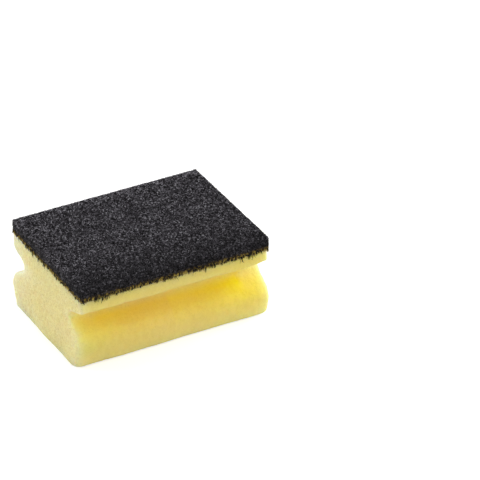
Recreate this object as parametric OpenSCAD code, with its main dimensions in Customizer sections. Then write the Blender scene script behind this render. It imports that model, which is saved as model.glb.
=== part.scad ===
// Cleaning sponge with a scouring pad and a finger groove along each long side.
// X runs along the sponge, Y across it, Z up. The origin is the middle of the foam's base.

/* [Overall size] */
// Length of the pad and of the foam's top face, which are cut together
sponge_len = 95; // [60:1:160]
// Width of the pad and across the foam's two flanges
sponge_w = 70; // [55:1:110]

/* [Foam flanges] */
// Height of the foam block
foam_h = 36; // [32:0.5:60]
// Thickness of each flange at its outer face
flange_t = 6.6; // [4:0.1:8]
// Rounding of the flange's lower edge
flange_round = 1.6; // [0.4:0.1:2.4]
// Slope of the flange's underside, in degrees
flange_slope = 16; // [10:1:25]

/* [Finger grooves] */
// Depth of each groove, from the flange's face to its deepest line
groove_depth = 12; // [9:0.5:15]
// Radius of the groove's round bottom
groove_r = 3.6; // [2.5:0.1:4.5]
// Slope of the shelf under the groove, in degrees
shelf_slope = 30; // [15:1:36]

/* [Foam lower body] */
// How far the lower body stays inside the flange's face on each side
body_inset = 0.7; // [0:0.1:3]
// Radius of the shoulder between the shelf and the flank
shoulder_r = 7; // [2:0.5:8]
// How far the flank leans in between the shoulder and the base
flank_lean = 1.7; // [0:0.1:3]
// Rounding of the long edges of the base
base_round = 2.6; // [0.5:0.1:4.5]
// How far each cut end leans out between the pad and the base
end_lean = 2.3; // [0:0.1:4]
// Rounding of the base's short edges
end_round = 1.2; // [0.3:0.1:3]

/* [Glue film] */
// Thickness of the glue that bonds the pad to the foam
glue_t = 0.3; // [0.2:0.05:1]

/* [Scouring pad] */
// Thickness of the pad
pad_t = 6.5; // [4:0.1:10]
// Rounding of the pad's top edges
pad_edge_r = 1; // [0.3:0.1:2]
// Rounding of the pad's four upright corners
pad_corner_r = 1.5; // [0.3:0.1:6]

/* [Hidden] */
$fn = 48;
// Margin by which a cutting shape passes the faces that it cuts
past = 2;
// How far a corner's web reaches past the corner's sides, in radii
web_reach = 0.3;

flange_y = sponge_w / 2;
shoulder_y = flange_y - body_inset;
base_y = shoulder_y - flank_lean;
base_len = sponge_len + 2 * end_lean;

// Outline of one groove, as points in the end view: [distance from the middle, height].
flange_tip = [flange_y, foam_h - flange_t];
groove_mid_y = flange_y - groove_depth + groove_r;
roof_y = groove_mid_y - groove_r * sin(flange_slope);
roof_z = flange_tip.y - (flange_y - roof_y) * tan(flange_slope);
groove_mid = [groove_mid_y, roof_z - groove_r * cos(flange_slope)];
roof_end = [roof_y, roof_z];
floor_end = groove_mid - groove_r * [sin(shelf_slope), cos(shelf_slope)];
shoulder = [shoulder_y, floor_end.y - (shoulder_y - floor_end.x) * tan(shelf_slope)];
base_corner = [base_y, 0];

function unit(v) = v / norm(v);

// Centre of the arc of radius r that touches both sides of the corner b.
function arc_mid(a, b, c, r) =
    let (u = unit(a - b), w = unit(c - b), half = acos(u * w) / 2)
    b + unit(u + w) * r / sin(half);

// What lies between the corner b of a b c and its rounding arc. Cutting it off rounds the corner.
module corner_web(a, b, c, r) {
    mid = arc_mid(a, b, c, r);
    foot_a = b + unit(a - b) * ((mid - b) * unit(a - b));
    foot_c = b + unit(c - b) * ((mid - b) * unit(c - b));
    reach = 1 + web_reach;
    difference() {
        polygon([mid, mid + (foot_a - mid) * reach, mid + (b - mid) * reach,
                 mid + (foot_c - mid) * reach]);
        translate(mid) circle(r);
    }
}

// Cut from the block on one side: the groove, and what lies outside the lower body.
module side_cut() {
    outside = flange_y + past;
    translate(groove_mid) circle(groove_r);
    polygon([groove_mid, roof_end, flange_tip, [outside, flange_tip.y], [outside, -past],
             [base_y, -past], base_corner, shoulder, floor_end]);
    corner_web([flange_y, foam_h], flange_tip, roof_end, flange_round);
    corner_web(floor_end, shoulder, base_corner, shoulder_r);
    corner_web(shoulder, base_corner, [0, 0], base_round);
}

// The foam's section, the same all along its length.
module grip_section() {
    difference() {
        translate([-flange_y, 0]) square([sponge_w, foam_h]);
        side_cut();
        mirror([1, 0]) side_cut();
    }
}

// The foam seen from the front: its ends lean out towards the base.
module end_outline() {
    top = sponge_len / 2;
    bottom = base_len / 2;
    difference() {
        polygon([[-top, foam_h], [top, foam_h], [bottom, 0], [-bottom, 0]]);
        corner_web([top, foam_h], [bottom, 0], [0, 0], end_round);
        mirror([1, 0]) corner_web([top, foam_h], [bottom, 0], [0, 0], end_round);
    }
}

// Turns an end-view outline into a bar along X.
module along_x(length) {
    rotate([90, 0, 90]) linear_extrude(length, center = true) children();
}

// Turns a front-view outline into a bar along Y.
module along_y(length) {
    rotate([90, 0, 0]) linear_extrude(length, center = true) children();
}

module foam_body() {
    color("khaki")
    intersection() {
        along_x(base_len + past) grip_section();
        along_y(sponge_w + past) end_outline();
    }
}

// The outline in plan that the blade gives to the pad and the glue under it.
module cut_outline() {
    corner = [sponge_len / 2, sponge_w / 2] - [pad_corner_r, pad_corner_r];
    square([sponge_len, 2 * corner.y], center = true);
    square([2 * corner.x, sponge_w], center = true);
    for (sx = [-1, 1], sy = [-1, 1])
        translate([sx * corner.x, sy * corner.y]) circle(pad_corner_r);
}

module glue_film() {
    color("darkgoldenrod")
    translate([0, 0, foam_h]) linear_extrude(glue_t) cut_outline();
}

// A slab's outline from the side, with its two top edges rounded.
module pad_side(width) {
    inner = width / 2 - pad_edge_r;
    translate([-width / 2, 0]) square([width, pad_t - pad_edge_r]);
    translate([-inner, 0]) square([2 * inner, pad_t]);
    for (s = [-1, 1]) translate([s * inner, pad_t - pad_edge_r]) circle(pad_edge_r);
}

module scouring_pad() {
    color("dimgray")
    translate([0, 0, foam_h + glue_t])
    intersection() {
        linear_extrude(pad_t) cut_outline();
        along_x(sponge_len + past) pad_side(sponge_w);
        along_y(sponge_w + past) pad_side(sponge_len);
    }
}

foam_body();
glue_film();
scouring_pad();
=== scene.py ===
"""A cleaning sponge: a foam block with a finger groove along each long side, and a scouring pad on top."""
import math

import bpy
import numpy as np
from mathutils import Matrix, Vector


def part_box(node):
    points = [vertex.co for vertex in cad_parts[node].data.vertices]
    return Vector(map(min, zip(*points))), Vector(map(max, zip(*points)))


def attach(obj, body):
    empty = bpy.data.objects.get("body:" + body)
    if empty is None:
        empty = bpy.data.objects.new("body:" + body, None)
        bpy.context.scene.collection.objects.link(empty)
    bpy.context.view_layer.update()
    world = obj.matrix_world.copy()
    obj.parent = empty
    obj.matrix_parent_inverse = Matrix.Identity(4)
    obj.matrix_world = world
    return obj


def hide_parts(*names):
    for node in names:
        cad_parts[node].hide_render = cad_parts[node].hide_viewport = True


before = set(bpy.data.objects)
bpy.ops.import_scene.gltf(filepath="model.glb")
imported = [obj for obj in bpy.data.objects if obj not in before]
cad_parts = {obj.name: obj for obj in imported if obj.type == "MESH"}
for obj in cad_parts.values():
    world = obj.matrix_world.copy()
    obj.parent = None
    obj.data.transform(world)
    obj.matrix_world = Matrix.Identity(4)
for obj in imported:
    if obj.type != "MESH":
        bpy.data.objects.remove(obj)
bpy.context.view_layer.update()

# The foam block
# Open-cell polyurethane foam, foamed as a slab, contour cut with a groove for the fingers along
# each long side and then sliced to length. The knife opens the cells, so every face is all pits.
# Sizes are in metres, and a step is how far apart the points of a piece's grid lie.
MM = 0.001
FOAM_STEP = 0.58 * MM
FOAM_SEED = 11


def farthest(points, axis):
    """The heights of the points, and the farthest reach along the axis at each of them."""
    heights, which = np.unique(points[:, 2].round(6), return_inverse=True)
    reach = np.zeros(len(heights))
    np.maximum.at(reach, which.ravel(), points[:, axis])
    return heights, reach


def node_points(name):
    """The points of a solid's mesh, as rows of x, y and z."""
    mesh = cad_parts[name].data
    points = np.empty(len(mesh.vertices) * 3)
    mesh.vertices.foreach_get("co", points)
    return points.reshape(-1, 3)


def even(path, step):
    """Points at equal distances along a path: arc length over the step, interpolated."""
    along = np.concatenate([[0], np.cumsum(np.linalg.norm(np.diff(path, axis=0), axis=1))])
    at = np.linspace(0, along[-1], round(along[-1] / step) + 1)
    return np.stack([np.interp(at, along, column) for column in path.T], axis=1)


def box_shell(counts):
    """The six faces of a box as grids that share their edges.

    Returns the grid places as whole numbers from 0 to the counts, and the faces, outside outwards.
    """
    places, faces, start = [], [], 0
    for axis in range(3):
        across, up = (axis + 1) % 3, (axis + 2) % 3
        a, b = np.meshgrid(np.arange(counts[across] + 1), np.arange(counts[up] + 1), indexing="ij")
        rows = counts[up] + 1
        corner = (np.arange(counts[across])[:, None] * rows + np.arange(counts[up])).ravel()
        quad = np.stack([corner, corner + rows, corner + rows + 1, corner + 1], axis=1)
        for side in (0, counts[axis]):
            grid = np.empty((a.size, 3), int)
            grid[:, axis], grid[:, across], grid[:, up] = side, a.ravel(), b.ravel()
            places.append(grid)
            faces.append(start + (quad if side else quad[:, ::-1]))
            start += len(grid)
    places, which = np.unique(np.concatenate(places), axis=0, return_inverse=True)
    return places, which.ravel()[np.concatenate(faces)]


def outward(points, quads):
    """A normal at each point: the sum of the cross products of its faces' diagonals, at length 1."""
    a, b, c, d = (points[quads[:, i]] for i in range(4))
    cross = np.cross(c - a, d - b)
    normals = np.zeros_like(points)
    for i in range(4):
        np.add.at(normals, quads[:, i], cross)
    return normals / np.linalg.norm(normals, axis=1, keepdims=True)


def ripples(points, size, seed, count=48):
    """Smooth unevenness of about unit height: a sum of cosine waves of about that length.

    Each wave has its own random direction, length and phase.
    """
    draw = np.random.default_rng(seed)
    way = draw.normal(size=(count, 3))
    way /= np.linalg.norm(way, axis=1, keepdims=True)
    pace = 2 * math.pi / (size * draw.uniform(0.7, 1.5, count))
    phase = draw.uniform(0, 2 * math.pi, count)
    return np.cos(points @ (way * pace[:, None]).T + phase).sum(axis=1) * math.sqrt(2 / count)


def unevenness(points, waves, seed):
    """The sum of ripples of several sizes, each given as its height and its length."""
    return sum(high * ripples(points, long, seed + number) for number, (high, long) in enumerate(waves))


def bell(distance, width):
    """A bell curve, 1 in its middle: e to the power of minus the square of distance over width."""
    return np.exp(-((distance / width) ** 2))


def fading(distance, length):
    """1 up to no distance and fading beyond: e to the power of minus the distance over the length."""
    return np.exp(-np.clip(distance, 0, None) / length)


def soft_step(distance, blend):
    """From 0 to 1 as the distance passes nought: half of 1 plus the tanh of distance over blend."""
    return 0.5 + 0.5 * np.tanh(distance / blend)


def new_piece(name, points, *face_sets, smooth=True):
    """A mesh object at the origin from an array of points and arrays of faces."""
    corners = np.concatenate([faces.ravel() for faces in face_sets])
    sizes = np.concatenate([np.full(len(faces), faces.shape[1]) for faces in face_sets])
    mesh = bpy.data.meshes.new(name)
    mesh.vertices.add(len(points))
    mesh.vertices.foreach_set("co", points.ravel())
    mesh.loops.add(len(corners))
    mesh.loops.foreach_set("vertex_index", corners)
    mesh.polygons.add(len(sizes))
    mesh.polygons.foreach_set("loop_start", np.cumsum(sizes) - sizes)
    mesh.polygons.foreach_set("use_smooth", np.full(len(sizes), smooth))
    mesh.update(calc_edges=True)
    piece = bpy.data.objects.new(name, mesh)
    bpy.context.scene.collection.objects.link(piece)
    return piece


def give_values(piece, name, values):
    """A value at each point of a piece, as an attribute that its material reads."""
    piece.data.attributes.new(name, "FLOAT", "POINT").data.foreach_set("value", values)


foam_cut = node_points("foam_body")
foam_high = np.array(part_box("foam_body")[1])
width_z, width_y = farthest(foam_cut, 1)
length_z, length_x = farthest(foam_cut, 0)
side_line = even(np.stack([width_y, width_z], axis=1), FOAM_STEP)

# Foam gives way under the knife, so the cut turns its corners softly. Each point of the profile
# becomes a weighted mean of its neighbours, and the profile goes on past its ends by turning back.
SOFT_POINTS = 4
weights = np.hanning(2 * SOFT_POINTS + 3)[1:-1]
weights /= weights.sum()
before = 2 * side_line[0] - side_line[SOFT_POINTS:0:-1]
beyond = 2 * side_line[-1] - side_line[-2:-SOFT_POINTS - 2:-1]
longer = np.concatenate([before, side_line, beyond])
side_line = np.stack([np.convolve(column, weights, "valid") for column in longer.T], axis=1)

foam_counts = [
    round(2 * foam_high[0] / FOAM_STEP),
    round(2 * foam_high[1] / FOAM_STEP),
    len(side_line) - 1,
]
foam_places, foam_quads = box_shell(foam_counts)
share = foam_places[:, :2] / np.array(foam_counts[:2]) * 2 - 1
half_y, foam_z = side_line[foam_places[:, 2]].T
half_x = np.interp(foam_z, length_z, length_x)
foam_points = np.stack([share[:, 0] * half_x, share[:, 1] * half_y, foam_z], axis=1)

# An upright cut edge is a quarter circle: what lies nearer to both faces than the radius moves onto
# the arc round the point that is one radius inside both. The foam is rubbed rounder at its feet.
CUT_EDGE = 1.8 * MM
RUBBED_EDGE = 2.8 * MM
RUBBED_HEIGHT = 5 * MM
edge_radius = (CUT_EDGE + RUBBED_EDGE * fading(foam_z, RUBBED_HEIGHT))[:, None]
inset = np.stack([half_x - abs(foam_points[:, 0]), half_y - abs(foam_points[:, 1])], axis=1)
lack = edge_radius - inset
at_edge = (lack > 0).all(axis=1)
arc = edge_radius * (1 - lack / np.linalg.norm(lack, axis=1, keepdims=True))
inset[at_edge] = arc[at_edge]
foam_points[:, 0] = np.sign(share[:, 0]) * (half_x - inset[:, 0])
foam_points[:, 1] = np.sign(share[:, 1]) * (half_y - inset[:, 1])

# The knife wandered along the front groove, so its shelf slants down towards the right end. From
# the middle of the sponge to the front, the slant grows between two shares of the half width.
SHELF_SLANT = 1.5 * MM
SHELF_HEIGHT = 17 * MM
SHELF_REACH = 6 * MM
SLANT_START = 0.1
SLANT_FULL = 0.6
to_front = -foam_points[:, 1] / foam_high[1]
front_side = np.clip((to_front - SLANT_START) / (SLANT_FULL - SLANT_START), 0, 1)
near_shelf = bell(foam_z - SHELF_HEIGHT, SHELF_REACH)
foam_points[:, 2] -= SHELF_SLANT * foam_points[:, 0] / foam_high[0] * front_side * near_shelf

# The cut faces are a little uneven, in waves given by height and length: the knife's own waves, the
# soft and hard spots of the foam, and its cells. The top, which is glued, and the base stay flat.
FOAM_WAVES = ((0.22 * MM, 22 * MM), (0.07 * MM, 5 * MM), (0.035 * MM, 1.6 * MM))
FLAT_BLEND = 2 * MM
free = np.clip(np.minimum(foam_z, foam_high[2] - foam_z) / FLAT_BLEND, 0, 1)
uneven = unevenness(foam_points, FOAM_WAVES, FOAM_SEED) * free
foam_points += outward(foam_points, foam_quads) * uneven[:, None]
foam_block = new_piece("foam_block", foam_points, foam_quads)

# Where the foam looks different, as shares for its material: none at 0, and full from 1 up. They go
# by a point's height, its depth inside the sliced ends, and its distance round the upright edge,
# which counts as positive on a sliced end and as negative on a long side.
foam_x, foam_y = foam_points[:, :2].T
at_right = foam_x > 0
at_back = foam_y > 0
on_end = foam_places[:, 0] % foam_counts[0] == 0
to_end = half_x - abs(foam_x)
round_edge = np.where(on_end, half_y - abs(foam_y), -to_end)

# Light that goes from wall to wall of a groove turns golden, and that gold is painted light and
# shade in the colour. The gold is deepest where the shelf starts, fades down the shelf, and fades
# faster up the bottom of the groove. The roof is golden too, and the flange's face is a little. The
# right end, which light from the right passes into, adds painted light to it: what is called MORE
# here.
GOLD_HEIGHT = 19 * MM
GOLD_DOWN = 9.5 * MM
GOLD_UP = 2.4 * MM
GOLD_UP_MORE = 0.8 * MM
ROOF_HEIGHT = 25.5 * MM
ROOF_REACH = 2.5 * MM
ROOF_GOLD = 0.7
FLANGE_START = 26 * MM
FLANGE_BLEND = 4 * MM
FLANGE_GOLD = 0.3
RIGHT_REACH = 35 * MM
GOLD_SHARE = 0.8
GOLD_SHARE_MORE = 0.25
to_right = np.clip(foam_x / RIGHT_REACH, 0, 1)
above_gold = foam_z - GOLD_HEIGHT
on_flange = np.clip((foam_z - FLANGE_START) / FLANGE_BLEND, 0, 1)
upper_gold = np.maximum.reduce([
    bell(above_gold, GOLD_UP + GOLD_UP_MORE * to_right),
    ROOF_GOLD * bell(foam_z - ROOF_HEIGHT, ROOF_REACH),
    FLANGE_GOLD * on_flange,
])
golden = np.where(above_gold > 0, upper_gold, fading(-above_gold, GOLD_DOWN))
golden *= GOLD_SHARE + GOLD_SHARE_MORE * to_right**2

# At the groove's mouths daylight thins the gold. Further in it turns the gold lemon, most of all
# from the right. Both are painted light.
MOUTH_DEPTH = 11.5 * MM
MOUTH_BLEND = 1.5 * MM
MOUTH_HEIGHT = 22 * MM
MOUTH_REACH = 5 * MM
THINNED_LEFT, THINNED_RIGHT = 0.4, 0.7
LEMON_LEFT, LEMON_RIGHT = 0.9, 1.0
LEMON_REACH_LEFT, LEMON_REACH_RIGHT = 16 * MM, 38 * MM
in_mouth = soft_step(MOUTH_DEPTH - to_end, MOUTH_BLEND) * bell(foam_z - MOUTH_HEIGHT, MOUTH_REACH)
golden *= 1 - np.where(at_right, THINNED_RIGHT, THINNED_LEFT) * in_mouth
near_end = fading(to_end, np.where(at_right, LEMON_REACH_RIGHT, LEMON_REACH_LEFT))
near_end *= np.where(at_right, LEMON_RIGHT, LEMON_LEFT)

# What is lit from all round is paler, which is painted light: the deepest part of the groove, the
# feet, which the floor lights, most of all at the right end, and the groove near its mouths.
DEEPEST_HEIGHT = 22.5 * MM
DEEPEST_REACH = 2.2 * MM
DEEPEST_PALE = 0.6
FOOT_HEIGHT = 13 * MM
FOOT_PALE = 0.3
RIGHT_FOOT_PALE = 0.8
RIGHT_FOOT_REACH = 25 * MM
END_REACH = 12 * MM
GROOVE_END_REACH = 6 * MM
GROOVE_END_PALE = 0.8
by_end = fading(to_end, END_REACH)
deepest = DEEPEST_PALE * bell(foam_z - DEEPEST_HEIGHT, DEEPEST_REACH)
foot_pale = FOOT_PALE + RIGHT_FOOT_PALE * fading(foam_high[0] - foam_x, RIGHT_FOOT_REACH)
foot = np.clip(1 - foam_z / FOOT_HEIGHT, 0, 1) * foot_pale
groove_end = GROOVE_END_PALE * by_end * bell(above_gold, GROOVE_END_REACH)

# The flank is a little greener and darker at the left end, which is painted shade. The sliced ends
# are paler than the long sides. The upright edges are palest, with a painted glow of light from
# behind that passes through them, and more so at the back.
FLANK_HEIGHT = 11 * MM
FLANK_REACH = 5 * MM
SLICED_BLEND = 2.0 * MM
FRONT_RIM, BACK_RIM = 0.5, 1.0
FRONT_RIM_REACH, BACK_RIM_REACH = 2.5 * MM, 7.0 * MM
rim = fading(abs(round_edge), np.where(at_back, BACK_RIM_REACH, FRONT_RIM_REACH))
foam_shares = {
    "golden": golden,
    "near_end": near_end,
    "lit": deepest + foot + groove_end,
    "left_flank_shade": by_end * (foam_x < 0) * bell(foam_z - FLANK_HEIGHT, FLANK_REACH),
    "sliced": soft_step(round_edge, SLICED_BLEND),
    "rim": np.where(at_back, BACK_RIM, FRONT_RIM) * rim,
}
for name, values in foam_shares.items():
    give_values(foam_block, name, values)


def linear(hex_colour):
    """A colour that is written as sRGB, as the linear red, green, blue and alpha of a shader."""
    parts = [int(hex_colour[i:i + 2], 16) / 255 for i in (1, 3, 5)]
    return [c / 12.92 if c <= 0.04045 else ((c + 0.055) / 1.055) ** 2.4 for c in parts] + [1]


def add(material, kind, settings=None, inputs=None):
    """A node with its settings, and each input set to a value or joined to another node's socket."""
    node = material.node_tree.nodes.new("ShaderNode" + kind)
    for name, value in (settings or {}).items():
        setattr(node, name, value)
    for name, value in (inputs or {}).items():
        named = [one for one in node.inputs if name in (one.identifier, one.name)]
        socket = node.inputs[name] if isinstance(name, int) else named[0]
        if isinstance(value, bpy.types.NodeSocket):
            material.node_tree.links.new(value, socket)
        else:
            socket.default_value = value
    return node


def mix(material, blend, factor, first, second):
    """Two colours mixed by the factor with a blend type."""
    settings = {"data_type": "RGBA", "blend_type": blend}
    inputs = {"Factor": factor, "A_Color": first, "B_Color": second}
    return add(material, "Mix", settings, inputs).outputs[2]


def new_material(name):
    """An empty node material."""
    material = bpy.data.materials.new(name)
    material.use_nodes = True
    material.node_tree.nodes.clear()
    return material


def ramp(material, factor, *stops):
    """A colour ramp over the factor, with each stop a place and a colour."""
    node = add(material, "ValToRGB", inputs={"Fac": factor})
    elements = node.color_ramp.elements
    while len(elements) < len(stops):
        elements.new(0.5)
    for element, (place, colour) in zip(elements, stops):
        element.position = place
        element.color = linear(colour)
    return node.outputs["Color"]


# Polyurethane foam, cut: matte, yellow, a little translucent. Its cells are about 0.7 mm wide,
# with some of 1.6 mm, drawn a little coarse so that they show. They show most on the sliced ends,
# and on the long sides at 0.3 of that.
CELL = 0.7 * MM
BIG_CELL = 1.6 * MM
MOTTLE = 1.3 * MM
foam = new_material("polyurethane_foam")
where = add(foam, "TexCoord").outputs["Object"]
cells = add(foam, "TexVoronoi", inputs={"Vector": where, "Scale": 1 / CELL}).outputs["Distance"]
big_cells = add(foam, "TexVoronoi", inputs={"Vector": where, "Scale": 1 / BIG_CELL}).outputs["Distance"]
mottle = add(foam, "TexNoise", inputs={"Vector": where, "Scale": 1 / MOTTLE, "Detail": 2.0}).outputs["Fac"]
seen_share = {
    name: add(foam, "Attribute", {"attribute_name": name}).outputs["Fac"] for name in foam_shares
}
deep = mix(foam, "MIX", seen_share["near_end"], linear("#F5D24A"), linear("#FFEB08"))
evenly_lit = mix(foam, "MIX", seen_share["lit"], linear("#EED98C"), linear("#FFF09A"))
# Painted shade on the left flank.
plain = mix(foam, "MULTIPLY", seen_share["left_flank_shade"], evenly_lit, linear("#D2F0EC"))
long_side = mix(foam, "MIX", seen_share["golden"], plain, deep)
sliced_or_not = mix(foam, "MIX", seen_share["sliced"], long_side, linear("#F7E9A4"))
# Painted glow at the upright edges.
tone = mix(foam, "MIX", seen_share["rim"], sliced_or_not, linear("#FFFCDC"))
warmth = ramp(foam, mottle, (0.3, "#F4ECE2"), (0.7, "#FFFFFF"))
# The cells' hollows are darkened in the colour: painted shade in the pits.
pit = ramp(foam, cells, (0.05, "#CECAC5"), (0.35, "#FFFFFF"))
on_ends = {0: seen_share["sliced"], 1: 0.7, 2: 0.3}
open_cells = add(foam, "Math", {"operation": "MULTIPLY_ADD"}, on_ends).outputs["Value"]
mottled = mix(foam, "MULTIPLY", open_cells, tone, warmth)
cut_colour = mix(foam, "MULTIPLY", open_cells, mottled, pit)
relief = add(foam, "Math", {"operation": "ADD"}, {0: cells, 1: big_cells}).outputs["Value"]
pits = add(foam, "Bump", inputs={"Strength": 0.3, "Distance": 0.2 * MM, "Height": relief})
foam_skin = add(
    foam,
    "BsdfPrincipled",
    {"subsurface_method": "RANDOM_WALK"},
    {
        "Base Color": cut_colour,
        "Roughness": 0.9,
        "IOR": 1.4,
        "Specular IOR Level": 0.2,
        "Subsurface Weight": 1.0,
        "Subsurface Radius": (1.0, 0.8, 0.3),
        "Subsurface Scale": 9 * MM,
        "Normal": pits.outputs["Normal"],
    },
)
add(foam, "OutputMaterial", inputs={"Surface": foam_skin.outputs["BSDF"]})
foam_block.data.materials.append(foam)
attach(foam_block, "root")
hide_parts("foam_body")

# The glue film
# Laminating glue, sprayed on the foam before the fleece was laid on it. The knife cut through it
# with the rest, and it shows as a thin brown line whose edge is ragged where fibres pulled out.
GLUE_STEP = 0.3 * MM
RAGGED_DEPTH = 0.12 * MM
RAGGED_LENGTH = 1.5 * MM
GLUE_SEED = 21
glue_low, glue_high = (np.array(corner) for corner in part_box("glue_film"))
corners = np.array([(-1, -1), (1, -1), (1, 1), (-1, 1), (-1, -1)]) * glue_high[:2]
cut_line = even(corners, GLUE_STEP)[:-1]
outside = cut_line / np.linalg.norm(cut_line, axis=1, keepdims=True)
rags = ripples(np.column_stack([cut_line, np.zeros(len(cut_line))]), RAGGED_LENGTH, GLUE_SEED)
edge_line = cut_line + outside * (RAGGED_DEPTH * rags)[:, None]
below = np.column_stack([edge_line, np.full(len(edge_line), glue_low[2])])
above = np.column_stack([edge_line, np.full(len(edge_line), glue_high[2])])
number = np.arange(len(edge_line))
after = np.roll(number, -1)
glue_walls = np.stack([number, after, after + len(number), number + len(number)], axis=1)
glue_sheets = np.stack([number[::-1], number + len(number)])
glue_layer = new_piece("glue_layer", np.concatenate([below, above]), glue_walls, glue_sheets, smooth=False)

# Set polyurethane glue: amber brown, soaked with dark dust from the fleece in patches of about
# 1.2 mm, and a little shiny.
GLUE_PATCH = 1.2 * MM
glue = new_material("laminating_glue")
where = add(glue, "TexCoord").outputs["Object"]
patches = add(glue, "TexNoise", inputs={"Vector": where, "Scale": 1 / GLUE_PATCH, "Detail": 2.0})
glue_skin = add(
    glue,
    "BsdfPrincipled",
    inputs={
        "Base Color": ramp(glue, patches.outputs["Fac"], (0.35, "#4E3E1A"), (0.6, "#B09A54")),
        "Roughness": 0.5,
    },
)
add(glue, "OutputMaterial", inputs={"Surface": glue_skin.outputs["BSDF"]})
glue_layer.data.materials.append(glue)
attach(glue_layer, "root")
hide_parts("glue_film")

# The scouring pad
# Non-woven nylon fleece: crimped fibres laid in a loose web and bonded with a resin that carries
# the grit. The sheet is cut with the foam, and stray fibres soften all of its edges.
PAD_STEP = 0.42 * MM
PAD_EDGE = 0.6 * MM
PAD_SEED = 31
pad_low, pad_high = (np.array(corner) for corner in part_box("scouring_pad"))
pad_size = pad_high - pad_low
pad_counts = [round(size / PAD_STEP) for size in pad_size]
pad_places, pad_quads = box_shell(pad_counts)
pad_points = pad_low + pad_places / np.array(pad_counts) * pad_size

# Every edge but the four at the glue is rounded: a point keeps the edge's radius from the
# nearest point of the slab that is one radius smaller on those sides.
core_low = pad_low + [PAD_EDGE, PAD_EDGE, 0]
core = np.clip(pad_points, core_low, pad_high - PAD_EDGE)
away = pad_points - core
distance = np.linalg.norm(away, axis=1, keepdims=True)
pad_points = core + away / np.maximum(distance, 1e-9) * np.minimum(distance, PAD_EDGE)

# The web is lumpy, in waves given by height and length. The lumps vanish at the glue, and they are
# low at the rim, where the knife pressed the web together.
LUMP_WAVES = ((0.08 * MM, 9 * MM), (0.06 * MM, 2.6 * MM), (0.18 * MM, 1.2 * MM))
GLUED_HEIGHT = 0.8 * MM
RIM_LUMPS = 0.3
RIM_LUMPS_REACH = 4 * MM
clear_of_glue = np.clip((pad_points[:, 2] - pad_low[2]) / GLUED_HEIGHT, 0, 1)
from_rim = (pad_high[:2] - abs(pad_points[:, :2])).min(axis=1)
within = np.clip(RIM_LUMPS + from_rim / RIM_LUMPS_REACH, 0, 1)
lumps = unevenness(pad_points, LUMP_WAVES, PAD_SEED) * clear_of_glue * within
pad_points += outward(pad_points, pad_quads) * lumps[:, None]
pad_core = new_piece("pad_core", pad_points, pad_quads)

# How light the top is, and how that changes along the front, along the back and on the cut sides:
# painted shade along the front and on the sides, and a painted sheen along the back.
TOP_LIGHT = 0.8
FRONT_SHADE = 0.5
FRONT_REACH = 14 * MM
BACK_SHEEN = 0.3
BACK_REACH = 6 * MM
SIDE_SHADE = 0.35
SIDE_START = 0.5 * MM
SIDE_BLEND = 1.0 * MM


def lightness(points):
    """How light the fleece is, from where it lies between the front and the back.

    The sheet is half as light along the front, which is painted shade, and a third lighter along the
    back, which is a painted sheen. Both fade as a bell curve away from the edge. The cut sides are a
    third darker than the top, which is painted shade too.
    """
    on_sides = np.clip((pad_high[2] - points[:, 2] - SIDE_START) / SIDE_BLEND, 0, 1)
    front = 1 - FRONT_SHADE * bell(points[:, 1] - pad_low[1], FRONT_REACH)
    back = 1 + BACK_SHEEN * bell(pad_high[1] - points[:, 1], BACK_REACH)
    return TOP_LIGHT * (1 - SIDE_SHADE * on_sides) * front * back


# How high the glue crept up, how wide its patches are, and how much a patch counts. Then the sums
# of patch and nearness at which the brown of glue and the yellow of foam start and are full.
CREEP_HEIGHT = 3.0 * MM
CREEP_PATCH = 1.1 * MM
CREEP_RAGGED = 1.3
CREEP_STAINS = ((0.95, 1.3, "#57451A"), (1.2, 1.65, "#B8A054"))


def soaked(material, colour):
    """The colour, but brown with glue and then yellow with foam towards the bottom of the sheet.

    Each starts where noise and the nearness to the glue add up to its limit, so it ends raggedly.
    """
    where = add(material, "TexCoord").outputs["Object"]
    height = add(material, "SeparateXYZ", inputs={"Vector": where}).outputs["Z"]
    creep = {"Value": height, "From Min": pad_low[2] + CREEP_HEIGHT, "From Max": pad_low[2]}
    near_glue = add(material, "MapRange", inputs=creep).outputs["Result"]
    noise = {"Vector": where, "Scale": 1 / CREEP_PATCH, "Detail": 2.0}
    patches = add(material, "TexNoise", inputs=noise).outputs["Fac"]
    both = {0: patches, 1: CREEP_RAGGED, 2: near_glue}
    total = add(material, "Math", {"operation": "MULTIPLY_ADD"}, both).outputs["Value"]
    for low, high, stain in CREEP_STAINS:
        limits = {"Value": total, "From Min": low, "From Max": high}
        stained = add(material, "MapRange", inputs=limits).outputs["Result"]
        colour = mix(material, "MIX", stained, colour, linear(stain))
    return colour


# The resin between the fibres is nearly black, with grey clots, partly its own tone and partly
# painted glints. Its clots are about 0.6 mm wide, and the glue has crept up between them at the
# bottom of the sheet.
CLOT = 0.6 * MM
give_values(pad_core, "lightness", lightness(pad_points))
web = new_material("resin_bonded_web")
where = add(web, "TexCoord").outputs["Object"]
clots = add(web, "TexVoronoi", inputs={"Vector": where, "Scale": 1 / CLOT}).outputs["Color"]
rough = add(web, "TexNoise", inputs={"Vector": where, "Scale": 1 / CLOT, "Detail": 2.0}).outputs["Fac"]
web_relief = add(web, "Bump", inputs={"Strength": 1.0, "Distance": 0.3 * MM, "Height": rough})
light_share = add(web, "Attribute", {"attribute_name": "lightness"}).outputs["Fac"]
resin = ramp(web, clots, (0.3, "#0A090B"), (0.5, "#312E32"), (0.7, "#5C595F"), (0.88, "#9C9AA0"))
# The resin's tone takes the lightness, with its painted shade and sheen.
resin_tone = mix(web, "MULTIPLY", 1.0, resin, light_share)
web_skin = add(
    web,
    "BsdfPrincipled",
    inputs={
        "Base Color": soaked(web, resin_tone),
        "Roughness": 0.8,
        "Specular IOR Level": 0.1,
        "Normal": web_relief.outputs["Normal"],
    },
)
add(web, "OutputMaterial", inputs={"Surface": web_skin.outputs["BSDF"]})
pad_core.data.materials.append(web)
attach(pad_core, "root")
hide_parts("scouring_pad")

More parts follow.
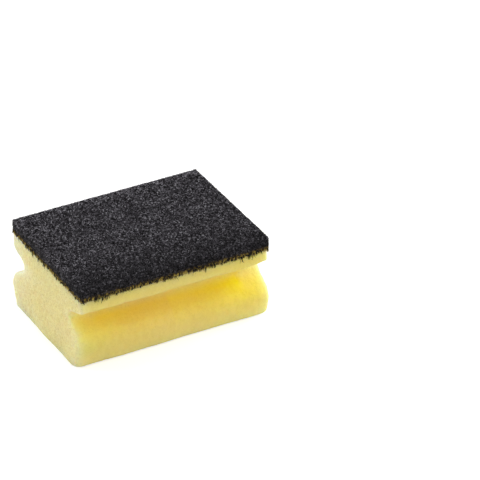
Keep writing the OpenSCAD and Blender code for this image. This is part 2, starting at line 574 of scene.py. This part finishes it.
# The fibres of the pad
# Crimped nylon fibres of about 0.05 mm, drawn two to five times as thick so that they show. They
# lie every way in the top and the sides of the sheet, and the resin holds them where they cross.
FIBRE_RINGS = 5
FIBRE_SIDES = 3
FIBRE_RADIUS = (0.06 * MM, 0.13 * MM)
FIBRE_TIP = 0.6
FIBRE_CRIMP = 0.7
STRAY = 0.1 * MM
half = pad_size / 2
middle_of_pad = (pad_low + pad_high) / 2
UP = np.array([0, 0, 1])

# The four sides in turn, from the front by the right and the back to the left: which way each
# runs, and half its length.
ALONG = np.array([(1, 0, 0), (0, 1, 0), (-1, 0, 0), (0, -1, 0)])
half_side = half[[0, 1, 0, 1]]


def fold(values, limit):
    """Values beyond the limit on either side turn back, as a mirror at the limit shows them."""
    return limit - abs((values + limit) % (4 * limit) - 2 * limit)


def round_off(rim):
    """How far the rounded edge lies inside the flat face, at a distance from the edge.

    With the lack as the radius less the distance, it is the radius less the root of the radius
    squared less the lack squared. The arc is steep under a fifth of the radius, so that is the
    least that the distance counts as.
    """
    lack = PAD_EDGE - np.clip(rim, PAD_EDGE / 5, PAD_EDGE)
    return PAD_EDGE - np.sqrt(PAD_EDGE**2 - lack**2)


def curls(draw, start_a, start_b, length):
    """Paths in a plane: each heading drifts as a random walk, and each path is the sum of its steps."""
    count = len(start_a)
    drift = np.cumsum(draw.normal(0, FIBRE_CRIMP, (count, FIBRE_RINGS)), axis=1)
    way = draw.uniform(0, 2 * math.pi, (count, 1)) + drift
    step = draw.uniform(*length, (count, 1)) / (FIBRE_RINGS - 1)
    return start_a + np.cumsum(step * np.cos(way), axis=1), start_b + np.cumsum(step * np.sin(way), axis=1)


def tapered(draw, count, radius, tip):
    """The radius at each ring of each strand, from one drawn between two limits down to its tip."""
    return draw.uniform(*radius, (count, 1)) * np.linspace(1, tip, FIBRE_RINGS)


def some_sides(draw, count, weight):
    """The number of a side for each strand or grain, drawn by the weight of the four sides."""
    return draw.choice(4, count, p=weight / weight.sum())


def on_top(a, b, height):
    """Places on the top face, a along X and b along Y, bent down at its rounded edges."""
    rim = np.minimum(half[0] - abs(a), half[1] - abs(b))
    return np.stack([a, b, pad_high[2] + height - round_off(rim)], axis=-1)


def on_side(which, a, b, height):
    """Places on the side faces, a along the side and b up it from its middle, bent at the edges."""
    along = ALONG[which]
    out = np.cross(along, UP)
    run = half_side[which][:, None]
    depth = height - round_off(np.minimum(run - abs(a), half[2] - b)) + abs(out @ half)[:, None]
    flat = a[..., None] * along[:, None] + depth[..., None] * out[:, None]
    return middle_of_pad + flat + b[..., None] * UP


def strands(name, path, out, thick, shade, material):
    """Tubes round paths of points: at each point a ring square to the path, and a cap at each end.

    The shade of each strand is 0 for the darkest to 1 for the lightest, and it is multiplied by the
    lightness, with its painted shade and sheen.
    """
    tangent = np.gradient(path, axis=1)
    tangent /= np.linalg.norm(tangent, axis=2, keepdims=True) + 1e-12
    beside = np.cross(tangent, out)
    beside /= np.linalg.norm(beside, axis=2, keepdims=True) + 1e-12
    above = np.cross(beside, tangent)
    angle = np.arange(FIBRE_SIDES) / FIBRE_SIDES * 2 * math.pi
    ring = np.cos(angle)[:, None] * beside[:, :, None] + np.sin(angle)[:, None] * above[:, :, None]
    points = (path[:, :, None] + thick[..., None, None] * ring).reshape(-1, 3)
    number = np.arange(len(points)).reshape(len(path), -1, FIBRE_SIDES)
    near, far = number[:, :-1], number[:, 1:]
    walls = np.stack([near, far, np.roll(far, -1, axis=2), np.roll(near, -1, axis=2)], axis=-1)
    ends = np.concatenate([number[:, 0], number[:, -1, ::-1]])
    piece = new_piece(name, points, walls.reshape(-1, 4), ends)
    finish(piece, np.repeat(shade, number[0].size) * lightness(points), material)


def finish(piece, shade, material):
    """The shade as an attribute, the material, and what the piece rides on."""
    give_values(piece, "shade", shade)
    piece.data.materials.append(material)
    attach(piece, "root")


def shaded(name, roughness, *stops, soaks=True):
    """A dyed, satin stuff in which each fibre or grain has its own shade."""
    made = new_material(name)
    shade = add(made, "Attribute", {"attribute_name": "shade"}).outputs["Fac"]
    colour = ramp(made, shade, *stops)
    if soaks:
        colour = soaked(made, colour)
    surface = {"Base Color": colour, "Roughness": roughness, "Specular IOR Level": 0.2}
    skin = add(made, "BsdfPrincipled", inputs=surface)
    add(made, "OutputMaterial", inputs={"Surface": skin.outputs["BSDF"]})
    return made


# Nylon fibre, dyed in the mass, satin.
nylon = shaded("nylon_fibre", 0.5, (0.0, "#131114"), (0.5, "#434045"), (0.8, "#78757C"), (1.0, "#B6B3BA"))

# The top has two layers, the lower of which shows through the upper one.
TOP_LAYERS = {"fibres_top_low": -0.25 * MM, "fibres_top_high": 0.0}
TOP_FIBRES = 4200
TOP_LENGTH = (1.2 * MM, 3.0 * MM)
TOP_HEIGHT = (-0.15 * MM, 0.1 * MM)
TOP_SEED = 41
for number, (name, level) in enumerate(TOP_LAYERS.items()):
    draw = np.random.default_rng(TOP_SEED + number)
    start = draw.uniform(-half[:2], half[:2], (TOP_FIBRES, 2))
    a, b = curls(draw, start[:, :1], start[:, 1:], TOP_LENGTH)
    a = fold(a, half[0] + draw.uniform(0, STRAY, (TOP_FIBRES, 1)))
    b = fold(b, half[1] + draw.uniform(0, STRAY, (TOP_FIBRES, 1)))
    height = level + draw.uniform(*TOP_HEIGHT, (TOP_FIBRES, FIBRE_RINGS))
    thick = tapered(draw, TOP_FIBRES, FIBRE_RADIUS, FIBRE_TIP)
    strands(name, on_top(a, b, height), UP, thick, draw.random(TOP_FIBRES), nylon)

# On the sides each fibre lies at its own depth and wanders a little round it.
SIDE_FIBRES = 4400
SIDE_LENGTH = (1.0 * MM, 2.6 * MM)
SIDE_DEPTH = (-0.3 * MM, 0.15 * MM)
SIDE_WANDER = (-0.1 * MM, 0.1 * MM)
SIDE_SEED = 51
draw = np.random.default_rng(SIDE_SEED)
which = some_sides(draw, SIDE_FIBRES, half_side)
run = half_side[which][:, None]
start_a = draw.uniform(-run, run)
start_b = draw.uniform(-half[2], half[2], (SIDE_FIBRES, 1))
a, b = curls(draw, start_a, start_b, SIDE_LENGTH)
a = fold(a, run + draw.uniform(0, STRAY, (SIDE_FIBRES, 1)))
b = fold(b, half[2] + draw.uniform(0, STRAY, (SIDE_FIBRES, 1)))
height = draw.uniform(*SIDE_DEPTH, (SIDE_FIBRES, 1))
height = height + draw.uniform(*SIDE_WANDER, (SIDE_FIBRES, FIBRE_RINGS))
thick = tapered(draw, SIDE_FIBRES, FIBRE_RADIUS, FIBRE_TIP)
out = np.cross(ALONG[which], UP)[:, None]
strands("fibres_sides", on_side(which, a, b, height), out, thick, draw.random(SIDE_FIBRES), nylon)

# Tufts of cut fibres hang from the bottom of the sides over the glue line, brown with glue. Each
# strand stands for a few fibres. At the ends the tufts are half as dense and hang less far.
TUFTS = 500
IN_TUFT = 5
TUFT_SHARE = np.array([1, 0.5, 1, 0.5])
TUFT_LEAST = np.array([0.75, 0.6, 0.75, 0.6]) * MM
TUFT_TOP = (0.3 * MM, 1.9 * MM)
TUFT_WIDTH = 0.25 * MM
TUFT_CORNER = 0.4 * MM
TUFT_SEED = 61
GLUED_SHADES = ((0.0, "#0E0C07"), (0.6, "#2A2411"), (1.0, "#5C5026"))
glued_nylon = shaded("glued_nylon_fibre", 0.5, *GLUED_SHADES, soaks=False)
draw = np.random.default_rng(TUFT_SEED)
strand_count = TUFTS * IN_TUFT
which = some_sides(draw, TUFTS, half_side * TUFT_SHARE)
middle = draw.uniform(-1, 1, TUFTS) * half_side[which]

# Few tufts hang far: their reach is drawn with an exponential spread. It swells and thins in
# ripples along each side, and the sides are set apart so that each has ripples of its own.
TUFT_REACH = 0.6 * MM
TUFT_MOST = 2 * MM
SWELL = 0.4
SWELL_LIMITS = (0.2, 2.2)
SWELL_LENGTH = 14 * MM
SIDES_APART = 100 * MM
reach = np.minimum(draw.exponential(TUFT_REACH, TUFTS), TUFT_MOST)
swell_places = np.stack([middle, which * SIDES_APART, np.zeros(TUFTS)], axis=1)
reach *= np.clip(1 + SWELL * ripples(swell_places, SWELL_LENGTH, TUFT_SEED + 1), *SWELL_LIMITS)

# Each strand of a tuft has its own start, length, lean, bend and drop.
STRAND_SHARE = (0.4, 1)
STRAND_LEAN = 0.2
STRAND_BEND = 0.1
STRAND_DROP = (0, 0.3 * MM)
STRAND_OUT = (-0.1 * MM, 0.15 * MM)
STRAND_TIP_OUT = 0.2 * MM
STRAND_RADIUS = (0.09 * MM, 0.2 * MM)
STRAND_TIP = 0.4
which, middle, reach = (np.repeat(column, IN_TUFT) for column in (which, middle, reach))
start = fold(middle + draw.normal(0, TUFT_WIDTH, strand_count), half_side[which] - TUFT_CORNER)[:, None]
length = (TUFT_LEAST[which] + reach * draw.uniform(*STRAND_SHARE, strand_count))[:, None]
along_strand = np.linspace(0, 1, FIBRE_RINGS)
lean = draw.normal(0, STRAND_LEAN, (strand_count, 1))
bend = draw.normal(0, STRAND_BEND, (strand_count, 1))
a = start + length * (lean * along_strand + bend * along_strand**2)
top_of_tuft = np.repeat(draw.uniform(*TUFT_TOP, TUFTS), IN_TUFT)[:, None]
b = top_of_tuft - half[2] - draw.uniform(*STRAND_DROP, (strand_count, 1)) - length * along_strand
height = draw.uniform(*STRAND_OUT, (strand_count, 1)) + STRAND_TIP_OUT * along_strand
thick = tapered(draw, strand_count, STRAND_RADIUS, STRAND_TIP)
out = np.cross(ALONG[which], UP)[:, None]
strands("fringe", on_side(which, a, b, height), out, thick, draw.random(strand_count), glued_nylon)

# The grit of the pad
# Grains of abrasive, bonded to the fibres by the resin, and drawn 0.2 to 0.5 mm wide so that they
# show. Each is a small crystal with eight faces, turned and stretched at random, and its flat faces
# are what glints.
OCTAHEDRON = np.array([(1, 0, 0), (-1, 0, 0), (0, 1, 0), (0, -1, 0), (0, 0, 1), (0, 0, -1)])
FACES = np.array([(0, 2, 4), (2, 1, 4), (1, 3, 4), (3, 0, 4), (2, 0, 5), (1, 2, 5), (3, 1, 5), (0, 3, 5)])
GRIT_SHADES = ((0.0, "#131114"), (0.5, "#454247"), (0.8, "#88858C"), (1.0, "#DAD8DE"))
GRAIN_REACH = (0.12 * MM, 0.26 * MM)
TOP_GRAINS = 7500
TOP_GRAIN_HEIGHT = (-0.1 * MM, 0.12 * MM)
SIDE_GRAINS = 2600
SIDE_GRAIN_DEPTH = (-0.15 * MM, 0.1 * MM)
GRIT_SEED = 71


def along_sides(draw, which, level, depth):
    """Places at the levels on the sides, with their run and their depth drawn evenly."""
    run = half_side[which][:, None]
    return on_side(which, draw.uniform(-run, run), level, draw.uniform(*depth, level.shape))


resin_coated = shaded("resin_coated_grit", 0.35, *GRIT_SHADES)
draw = np.random.default_rng(GRIT_SEED)
start = draw.uniform(-half[:2], half[:2], (TOP_GRAINS, 2))
top = on_top(start[:, :1], start[:, 1:], draw.uniform(*TOP_GRAIN_HEIGHT, (TOP_GRAINS, 1)))
which = some_sides(draw, SIDE_GRAINS, half_side)
level = draw.uniform(-half[2], half[2], (SIDE_GRAINS, 1))
side = along_sides(draw, which, level, SIDE_GRAIN_DEPTH)

# Some grains broke off under the knife and cling to the foam just under the seam.
SEAM_GRAINS = 300
SEAM_TOP = 0.1 * MM
SEAM_SPREAD = 0.8 * MM
SEAM_GRAIN_DEPTH = (0.05 * MM, 0.2 * MM)
which = some_sides(draw, SEAM_GRAINS, half_side)
level = SEAM_TOP - half[2] - abs(draw.normal(0, SEAM_SPREAD, (SEAM_GRAINS, 1)))
seam = along_sides(draw, which, level, SEAM_GRAIN_DEPTH)

grains = np.concatenate([top, side, seam])
turn = np.linalg.qr(draw.normal(size=(len(grains), 3, 3)))[0]
turn *= np.linalg.det(turn)[:, None, None]
size = draw.uniform(*GRAIN_REACH, (len(grains), 1, 3))
points = (grains + (OCTAHEDRON * size) @ turn).reshape(-1, 3)
faces = (np.arange(len(grains))[:, None, None] * len(OCTAHEDRON) + FACES).reshape(-1, 3)
grit = new_piece("grit", points, faces, smooth=False)
# Each grain's own shade is multiplied by the lightness, with its painted shade and sheen.
finish(grit, np.repeat(draw.random(len(grains)), len(OCTAHEDRON)) * lightness(points), resin_coated)

# The floor, the light and the camera
# A plain white floor keeps the sponge's soft shadow, and glows only to the camera. Large soft lamps
# stand at the back left, at the right and in front, in an even white surround, so that a colour
# renders about as it is written.
FLOOR_SIZE = 6
FLOOR_GLOW = 0.55
bpy.ops.mesh.primitive_plane_add(size=FLOOR_SIZE)
floor = bpy.context.object
floor.name = "floor"
paper = new_material("white_paper")
bounce = add(paper, "BsdfDiffuse", inputs={"Color": linear("#E6E6E6")}).outputs["BSDF"]
glow = add(paper, "Emission", inputs={"Color": (1, 1, 1, 1), "Strength": FLOOR_GLOW})
glowing = add(paper, "AddShader", inputs={0: bounce, 1: glow.outputs["Emission"]}).outputs["Shader"]
ray = add(paper, "LightPath").outputs["Is Camera Ray"]
seen = add(paper, "MixShader", inputs={0: ray, 1: bounce, 2: glowing})
add(paper, "OutputMaterial", inputs={"Surface": seen.outputs["Shader"]})
floor.data.materials.append(paper)

SURROUND_STRENGTH = 0.25
world = bpy.data.worlds.new("white_surround")
bpy.context.scene.world = world
world.use_nodes = True
world.node_tree.nodes["Background"].inputs["Color"].default_value = (1, 1, 1, 1)
world.node_tree.nodes["Background"].inputs["Strength"].default_value = SURROUND_STRENGTH

# Each lamp's place in metres and its power in watts. All face the middle of the sponge's base.
LAMP_SIZE = 0.8
LAMPS = {
    "lamp_left": ((-0.9, 0.8, 0.5), 10.3),
    "lamp_right": ((1.2, 0.0, 0.5), 14),
    "lamp_front": ((0.0, -1.2, 0.6), 6.6),
}
for name, (place, power) in LAMPS.items():
    data = bpy.data.lights.new(name, "AREA")
    data.size = LAMP_SIZE
    data.energy = power
    lamp = bpy.data.objects.new(name, data)
    lamp.location = place
    lamp.rotation_euler = (-Vector(place)).to_track_quat("-Z", "Y").to_euler()
    bpy.context.scene.collection.objects.link(lamp)

# The camera's place, its aim and its lens, in millimetres.
EYE = Vector((-637.75, -1256.12, 894.29)) * MM
AIM = Vector((68.6, 30.7, 0)) * MM
LENS = 272.2
SENSOR = 36
lens = bpy.data.cameras.new("camera")
lens.sensor_width = SENSOR
lens.lens = LENS
camera = bpy.data.objects.new("camera", lens)
camera.location = EYE
camera.rotation_euler = (AIM - EYE).to_track_quat("-Z", "Y").to_euler()
bpy.context.scene.collection.objects.link(camera)
bpy.context.scene.camera = camera
bpy.context.scene.view_settings.view_transform = "Standard"
